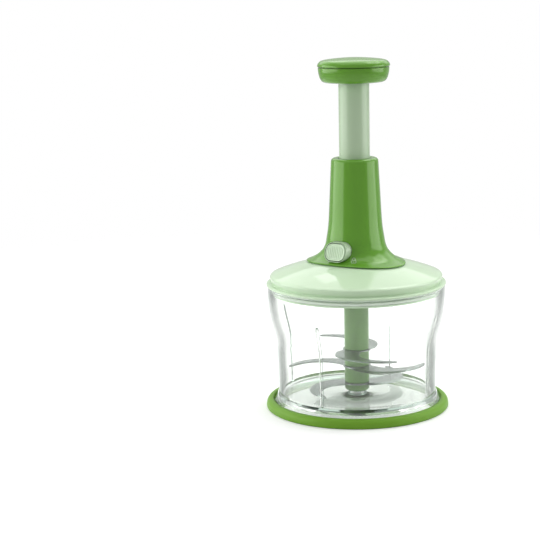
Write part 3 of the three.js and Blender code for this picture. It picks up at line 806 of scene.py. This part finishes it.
def makeSleeve():
    face, back, wall, plug = (button[key] for key in ("faceY", "sleeveBack", "sleeveWall", "plugInset"))
    rear = back - button["sleeveRear"]
    body = ovalLoft("sleeve", [
        (face + 0.25, 0), (face + 0.05, 0.08), (face, 0.25), (face, wall - 0.15), (face + 0.12, wall),
        (rear, wall), (rear, plug + 0.2), (back, plug + 0.2), (back, 0)], closed=True)
    width, front, end, low, high = button["window"]
    window = extruded("window", oblong(-width, front, width, end), low, high)
    combine(body, "UNION", ovalLoft("plug", [(rear, plug), (back, plug)]))
    return smooth(combine(body, "DIFFERENCE", window))


grip = {  # the ridges' crest, slope and root are depths behind the cap's front
    "count": 9, "pitch": 1.75, "width": 1.0, "crest": 0.12, "slope": 0.55, "root": 1.2,
    "inset": 3.3, "ends": (-31, -40),
}
latch = {  # outlines as (y, z)
    "body": [(-31.1, 134.3), (-26, 134.3), (-26, 142.3), (-28.7, 142.3)],
    "nose": [(-27, 134.3), (-17.3, 134.3), (-16.55, 135.2), (-16.55, 136.7), (-27, 136.7)],
    "bodyHalfWidth": 9,
    "noseHalfWidth": 4,
    "inset": 1.4,
    "ends": (-24, -45),
}


def makeGrip(front):
    # fine upright ridges that lean back with the cap's face
    half, inset, lean = grip["width"] / 2, grip["inset"], button["lean"]
    crest, slope, root = (front + grip[key] for key in ("crest", "slope", "root"))
    foot = button["centreZ"] - button["height"] / 2
    place = Matrix(((1, 0, 0, 0), (0, 1, lean, -lean * foot * mm), (0, 0, 1, 0), (0, 0, 0, 1)))
    ridges = []
    for k in range(grip["count"]):
        x = (k - (grip["count"] - 1) / 2) * grip["pitch"]
        outline = [(x - half, root), (x + half, root), (x + half, slope), (x + half / 2, crest),
                   (x - half / 2, crest), (x - half, slope)]
        ridges.append(extruded("ridge", outline, foot, foot + button["height"], place))
    comb = combine(ridges[0], "UNION", *ridges[1:])
    return combine(comb, "INTERSECT", ovalLoft("grip edge", [(y, inset) for y in grip["ends"]]))


def makeButtonCap():
    face, wall, crown = button["faceY"], button["sleeveWall"], button["crown"]
    front = face - 0.1
    cap = ovalLoft("button_cap", [(face + button["capBack"], wall + crown[0][1])]
                   + [(front + behind, wall + inset) for behind, inset in crown])
    return smooth(combine(cap, "UNION", makeGrip(front)), 40)


def makeLatch():
    # behind the cap, with the nose that hooks over the stop ring
    across = Matrix(((0, 0, 1, 0), (1, 0, 0, 0), (0, 1, 0, 0), (0, 0, 0, 1)))
    width, noseWidth = latch["bodyHalfWidth"], latch["noseHalfWidth"]
    body = extruded("latch", latch["body"], -width, width, across)
    nose = extruded("nose", latch["nose"], -noseWidth, noseWidth, across)
    combine(body, "INTERSECT", ovalLoft("inside", [(y, latch["inset"]) for y in latch["ends"]]))
    return smooth(combine(body, "UNION", nose))


sign = {
    "bearing": -60,
    "height": 135,
    "radius": 31,  # near the tower's surface there
    "tilt": 1.2,  # how much the surface looks up
    "line": 0.26,
    "proud": 0.1,
    "body": [(-1.8, -3, 0.4), (1.8, -3, 0.4), (1.8, 0.2, 0.4), (-1.8, 0.2, 0.4)],
    "arch": 1.1,
    "archFoot": 0.2,
    "archCentre": 1.6,
    "keyhole": [(0, -0.9), (0, -2)],
}
guide = {"outline": [(13.5, 193.3, 0.3), (15.6, 193.3, 0.3), (15.6, 207, 0.2), (17.6, 207, 0.3),
                     (17.6, 211.2, 0.3), (15.6, 211.2, 0.2), (15.6, 216.6, 0.4), (13.5, 216.6, 0.4)]}


def makeSign(shell):
    # a plain padlock in raised lines, laid on the foot of the tower
    outward = Vector((*around(1, sign["bearing"]), 0))
    normal = (outward + Vector((0, 0, sign["tilt"]))).normalized()
    right = Vector((0, 0, 1)).cross(outward)
    up = normal.cross(right)
    middle = outward * sign["radius"] + Vector((0, 0, sign["height"]))
    arch, foot = sign["arch"], sign["archFoot"]
    bow = [(arch, foot)] + arc(0, sign["archCentre"], arch, 0, 180, 10) + [(-arch, foot)]
    drawing = bpy.data.curves.new("lock sign", "CURVE")
    drawing.dimensions = "3D"
    drawing.bevel_depth = sign["line"] * mm
    drawing.bevel_resolution = 3
    drawing.use_fill_caps = True
    bpy.context.view_layer.update()
    for line, closed in ((rounded(sign["body"], 3), True), (bow, False), (sign["keyhole"], False)):
        fine = curve(line + line[:1] if closed else line, 3 * len(line))
        fine = fine[:-1] if closed else fine
        spline = drawing.splines.new("POLY")
        spline.use_cyclic_u = closed
        spline.points.add(len(fine) - 1)
        for point, (u, v) in zip(spline.points, fine):
            start = middle + right * u + up * v + normal * 8
            found, spot, _, _ = shell.ray_cast(start * mm, -normal)
            assert found, "the sign misses the tower"
            point.co = (*(spot + normal * sign["proud"] * mm), 1)
    source = addObject("lock sign", drawing)
    bpy.context.view_layer.update()
    mesh = bpy.data.meshes.new_from_object(source)
    bpy.data.objects.remove(source)
    piece = addObject("lock_sign", mesh)
    mesh.materials.clear()
    mesh.materials.append(materials["stem_green"])
    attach(piece, "lid")
    return smooth(piece)


makeSign(dress(makeTower(), "tower_housing"))
dress(makeSleeve(), "button_sleeve")
dress(makeButtonCap(), "lock_button")
dress(makeLatch(), "latch_slide")
dressTurned("stem_guide", "guide_bush", rounded(guide["outline"]), 96)
print("tower and button made")


# Plunger
stem = {
    "outline": [(0, 280.5), (7, 280.5, 0.5), (7, 218.3, 0.3), (10.4, 218.3, 0.3), (10.4, 187, 0.3),
                (11.95, 187, 0.3), (11.95, 193.15, 0.1), (13.15, 193.15, 0.3), (13.15, 292, 0.4), (0, 292)],
    "keyway": (1.6, 12.05, 188, 281.1),  # half width, depth from the axis, bottom and top
    "groove": (11.6, 1.5, 185, 218.3),  # half length, half width, bottom and top
    "screwHole": (2.3, 283.4, 293),  # radius, bottom and top
}


def makeStem():
    tube = turned("stem", rounded(stem["outline"]), 160)
    half, depth, low, high = stem["keyway"]
    keyway = extruded("keyway", oblong(-half, depth, half, 20), low, high)
    length, width, low, high = stem["groove"]
    groove = extruded("groove", oblong(-length, -width, length, width), low, high)
    return smooth(combine(tube, "DIFFERENCE", keyway, groove, rod("hole", *stem["screwHole"])))


knob = {  # the seam is at 296.3
    "foot": [(13.45, 284, 0.3), (14.35, 283.1, 0.3), (20, 283.1)],
    "side": [(22.6, 283.1), (24.6, 283.15), (26.9, 284.1), (28.4, 286), (29.2, 287.9), (29.7, 289.8),
             (30.1, 291.7), (30.3, 293.6)],
    "inside": [(30.3, 293.6), (30.45, 295.95, 0.4), (28, 295.9, 0.2), (27.6, 291), (26.4, 287.4),
               (24, 285.5), (16, 285.5, 0.3), (16, 294.6, 0.3), (2.3, 294.6, 0.2), (2.3, 292.3, 0.2),
               (13.45, 292.3, 0.2), (13.45, 284.6)],
    "crown": [(0, 304), (8, 303.85), (18.8, 303), (24.8, 302.2), (28.1, 301.3), (29.8, 299.9),
              (30.6, 298.7), (31, 297.5)],
    "capInside": [(31, 297.5), (30.95, 296.65, 0.4), (27.6, 296.7, 0.2), (27.6, 294.1, 0.2),
                  (25.8, 294.1, 0.2), (25.8, 298.4), (22.8, 300), (4, 301.2), (0, 301.3)],
}


dress(makeStem(), "stem_tube")
base = rounded(knob["foot"]) + curve(knob["side"], 28) + rounded(knob["inside"])[1:-1]
dressTurned("knob_base_shell", "knob_base", base, 160, 32)
cap = curve(knob["crown"], 48) + rounded(knob["capInside"])[1:]
dressTurned("knob_cap_shell", "knob_cap", cap, 160, 32)
print("plunger made")


# Blades
blades = {
    "reach": 60,
    "root": 9,  # radius where an arm starts
    "thickness": 1.2,
    "edge": 0.12,  # what the grinding leaves at the teeth
    "sweep": 66,
    "sweepPower": 1.5,
    "halfWidth": 12,
    "tipPower": 2.4,
    "bow": 0.6,  # how much the cross-sections bend round the axis
    "hole": 7.7,
    "hub": 12.2,
    "toothPitch": 3.2,
    "toothDepth": 0.9,
    "toothed": (0.16, 0.8),  # start and length of the toothed part, as shares of the arm
    "bevel": 0.42,  # share of the half width that is ground to the edge
    "turns": {"lower": 30, "middle": -30, "upper": -90},
    "levels": {"lower": 20, "middle": 35, "upper": 50},
}


def makeBladeArm(turn, level):
    # cross-sections along the swept arm, ground thin at the toothed edge
    root, thick, edge, bevel = (blades[key] for key in ("root", "thickness", "edge", "bevel"))
    teeth = int((blades["reach"] - root) / blades["toothPitch"])
    start, toothedLength = blades["toothed"]
    bm = bmesh.new()
    rows = []
    for t in [i / 240 for i in range(241)]:
        radius = root + (blades["reach"] - root) * t
        middle = blades["sweep"] * t ** blades["sweepPower"]
        width = blades["halfWidth"] * math.sqrt(max(0, 1 - t ** blades["tipPower"])) + 0.3
        along = (t - start) / toothedLength * teeth
        scallop = 1 - (2 * (along % 1) - 1) ** 2 if 0 < along < teeth else 0
        top, bottom = [], []
        for s in (1, 0.9, 0.5, 0, -0.5, -1 + bevel, -1 + bevel / 2, -1):
            w = width * s
            length = math.hypot(radius, w * blades["bow"])
            if s == -1:
                length -= blades["toothDepth"] * scallop
            x, y = around(length, middle + math.degrees(math.atan2(w, radius)) + turn)
            height = edge + (thick - edge) * min(1, (1 + s) / bevel)
            top.append(bm.verts.new((x * mm, y * mm, (level + height) * mm)))
            bottom.append(bm.verts.new((x * mm, y * mm, level * mm)))
        rows.append(top + bottom[::-1])
    joinRows(bm, rows)
    closeEnds(bm, rows)
    return newPiece("arm", bm)


def makeBlade(name):
    low, turn, hub = blades["levels"][name], blades["turns"][name], blades["hub"]
    high = low + blades["thickness"]
    disc = turned("blade_disc_" + name, [(0, low), (hub, low), (hub, high), (0, high)], 96)
    arms = [makeBladeArm(turn + half, low) for half in (0, 180)]
    hole = rod("hole", blades["hole"], low - 1, low + 3, steps=96)
    combine(disc, "UNION", *arms)
    return smooth(combine(disc, "DIFFERENCE", hole), 12)


shaft = {
    "outline": [(0, 42), (5.3, 42, 0.3), (5.3, 14.6, 0.3), (7.4, 14.6, 0.3), (7.4, 51.5, 0.2),
                (10.7, 51.5, 0.4), (10.7, 101.5, 0.8), (5.9, 101.5, 0.3), (5.9, 45, 0.3), (0, 45)],
    "socket": (12.2, 88, 102.5),  # across its flats, bottom and top
}
spacer = {"inner": 7.7, "outer": 10.7}
endNut = {"outline": [(7.7, 14.2, 0.2), (9.6, 14.2, 0.5), (10.7, 15.6, 0.6), (10.7, 19.7, 0.3),
                      (7.7, 19.7, 0.2)]}


def makeShaft():
    body = turned("blade_tube", rounded(shaft["outline"]), 96)
    flats, low, high = shaft["socket"]
    corners = [around(flats / math.sqrt(3), -90 + 60 * i) for i in range(6)]
    return smooth(combine(body, "DIFFERENCE", extruded("socket", corners, low, high)))


def makeSpacer(node):
    low, high = (corner.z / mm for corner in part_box(node))
    inner, outer = spacer["inner"], spacer["outer"]
    outline = rounded([(inner, low, 0.2), (outer, low, 0.4), (outer, high, 0.4), (inner, high, 0.2)])
    dressTurned("blade_" + node, node, outline, 96)


for bladeName in blades["levels"]:
    dress(makeBlade(bladeName), "blade_" + bladeName)
dress(makeShaft(), "blade_shaft")
makeSpacer("spacer_lower")
makeSpacer("spacer_upper")
dressTurned("blade_end_nut", "blade_nut", rounded(endNut["outline"]), 96)
print("blades made")


# Springs, wound by Geometry Nodes
def makeCoilTree():
    tree, given, out = makeGroup("coil", {
        "Radius": "Float", "Wire": "Float", "Length": "Float", "Turns": "Float", "Finish": "Material",
    }, {"Coil": "Geometry"}, "GeometryNodeTree")
    winding = put(tree, "GeometryNodeCurveSpiral", {"Resolution": 40, "Rotations": given["Turns"],
                  "Start Radius": given["Radius"], "End Radius": given["Radius"], "Height": 0})
    along = put(tree, "GeometryNodeSplineParameter").outputs["Factor"]
    share = maths(tree, "DIVIDE", 1, given["Turns"])
    rest = maths(tree, "SUBTRACT", 1, share)
    # a closed turn at each end rises by a little more than the wire, and the open turns take the rest
    closed = maths(tree, "MULTIPLY", given["Wire"], 1.1)
    wide = maths(tree, "MULTIPLY_ADD", given["Wire"], -3.2, given["Length"])
    half = maths(tree, "MULTIPLY", given["Wire"], 0.5)
    height = half
    for start, end, rise in ((0, share, closed), (share, rest, wide), (rest, 1, closed)):
        step = put(tree, "ShaderNodeMapRange",
                   {"Value": along, "From Min": start, "From Max": end, "To Max": rise})
        height = maths(tree, "ADD", height, step)
    lift = put(tree, "ShaderNodeCombineXYZ", {"Z": height})
    wound = put(tree, "GeometryNodeSetPosition", {"Geometry": winding, "Offset": lift})
    section = put(tree, "GeometryNodeCurvePrimitiveCircle", {"Resolution": 14, "Radius": half})
    wire = put(tree, "GeometryNodeCurveToMesh", {"Curve": wound, "Profile Curve": section, "Fill Caps": True})
    real = put(tree, "GeometryNodeRealizeInstances", {"Geometry": wire})
    done = put(tree, "GeometryNodeSetMaterial", {"Geometry": real, "Material": given["Finish"]})
    tree.links.new(done.outputs[0], out["Coil"])
    return tree


coilTree = makeCoilTree()
coils = {  # radius, wire, turns, then the joint that squeezes it and what is left of its length
    "return_spring": (9, 1.3, 12, "plunger_press", 0.285),
    "button_spring": (3.5, 0.7, 4, "button_press", 0.42),
}


def makeSpring(node, radius, wire, turns, place, length):
    piece = addObject(node.replace("_spring", "_coil"), bpy.data.meshes.new(node))
    modifier = piece.modifiers.new("coil", "NODES")
    modifier.node_group = coilTree
    values = {"Radius": radius * mm, "Wire": wire * mm, "Length": length, "Turns": float(turns),
              "Finish": materials["spring_steel"]}
    for socket in coilTree.interface.items_tree:
        if socket.in_out == "INPUT":
            modifier[socket.identifier] = values[socket.name]
    plainMesh(piece)
    piece.data.transform(place)
    return smooth(piece, 60)


for springNode, (radius, wire, turns, joint, keep) in coils.items():
    low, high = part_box(springNode)
    lying = joint == "button_press"
    place = Matrix.Translation(Vector((0, low.y, (low.z + high.z) / 2) if lying else (0, 0, low.z)))
    if lying:
        place @= Matrix.Rotation(math.radians(-90), 4, "X")
    length = high.y - low.y if lying else high.z - low.z
    piece = dress(makeSpring(springNode, radius, wire, turns, place, length), springNode)
    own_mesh(piece)
print("springs made")


# Twisted rod and screws
twist = {"side": 3.1, "corner": 0.4, "bottom": 112.6, "top": 219, "start": 126, "lead": 40, "steps": 320}
screws = {  # head radius and height, shank radius, length, and 1 if it points up
    "tower_screw": (3.2, 2, 1.05, 11.5, 1),
    "mechanism_screw": (3.2, 2, 1.2, 11, 1),
    "knob_screw": (3.8, 2.4, 1.9, 10.6, -1),
}
thread = {"pitch": 0.9, "start": 0.8, "end": 1.2, "root": 0.82}  # the root as a share of the radius
recess = {"length": 0.5, "halfWidth": 0.35, "depth": 0.9}  # the length as a share of the head's


def makeRod():
    side, bend, low, high = twist["side"], twist["corner"], twist["bottom"], twist["top"]
    section = rounded([(side, side, bend), (-side, side, bend), (-side, -side, bend),
                       (side, -side, bend)], 4)
    bm = bmesh.new()
    rows = []
    for i in range(twist["steps"] + 1):
        z = low + (high - low) * i / twist["steps"]
        turn = Matrix.Rotation(-2 * math.pi * max(0, z - twist["start"]) / twist["lead"], 2)
        spots = [turn @ Vector(corner) for corner in section]
        rows.append([bm.verts.new((x * mm, y * mm, z * mm)) for x, y in spots])
    joinRows(bm, rows)
    closeEnds(bm, rows)
    return smooth(newPiece("helix_rod", bm))


def makeScrew(node, headRadius, headHeight, shankRadius, length, direction):
    # a pan head with a cross recess, and a shank with thread ridges
    low, high = (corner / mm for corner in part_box(node))
    seat = (low.z + headHeight) if direction > 0 else (high.z - headHeight)
    pitch, root, end = thread["pitch"], shankRadius * thread["root"], thread["end"]
    crown = headRadius * 0.55
    outline = [(0, -headHeight), (crown, -headHeight)]
    outline += arc(crown, -headHeight * 0.1, headHeight * 0.9, -90, -8, 8)[1:]
    outline += [(headRadius * 0.98, 0), (root, 0)]
    for i in range(int((length - 2 * end) / pitch)):
        base = thread["start"] + i * pitch
        outline += [(root, base), (shankRadius, base + 0.35), (root, base + 0.7)]
    outline += [(root, length - end), (0.15, length), (0, length)]
    piece = turned(node.replace("_screw", "_fastener"), [(r, seat + direction * z) for r, z in outline], 40)
    middle = (low + high) / 2
    piece.data.transform(Matrix.Translation(Vector((middle.x, middle.y, 0)) * mm))
    top, depth = seat - direction * headHeight, recess["depth"]
    wide, deep = headRadius * recess["length"], recess["halfWidth"]
    corners, cross = [(wide, -deep), (wide, deep), (deep, deep)], []
    for quarter in range(4):
        cross += [(middle.x + x, middle.y + y) for x, y in corners]
        corners = [(-y, x) for x, y in corners]
    tool = extruded("recess", cross, top - depth, top + depth)
    return smooth(combine(piece, "DIFFERENCE", tool))


dress(makeRod(), "twisted_rod")
for screwNode in [node for node in slots if "screw" in node]:
    dress(makeScrew(screwNode, *screws[screwNode.rstrip("_1234")]), screwNode)
print("rod and screws made")
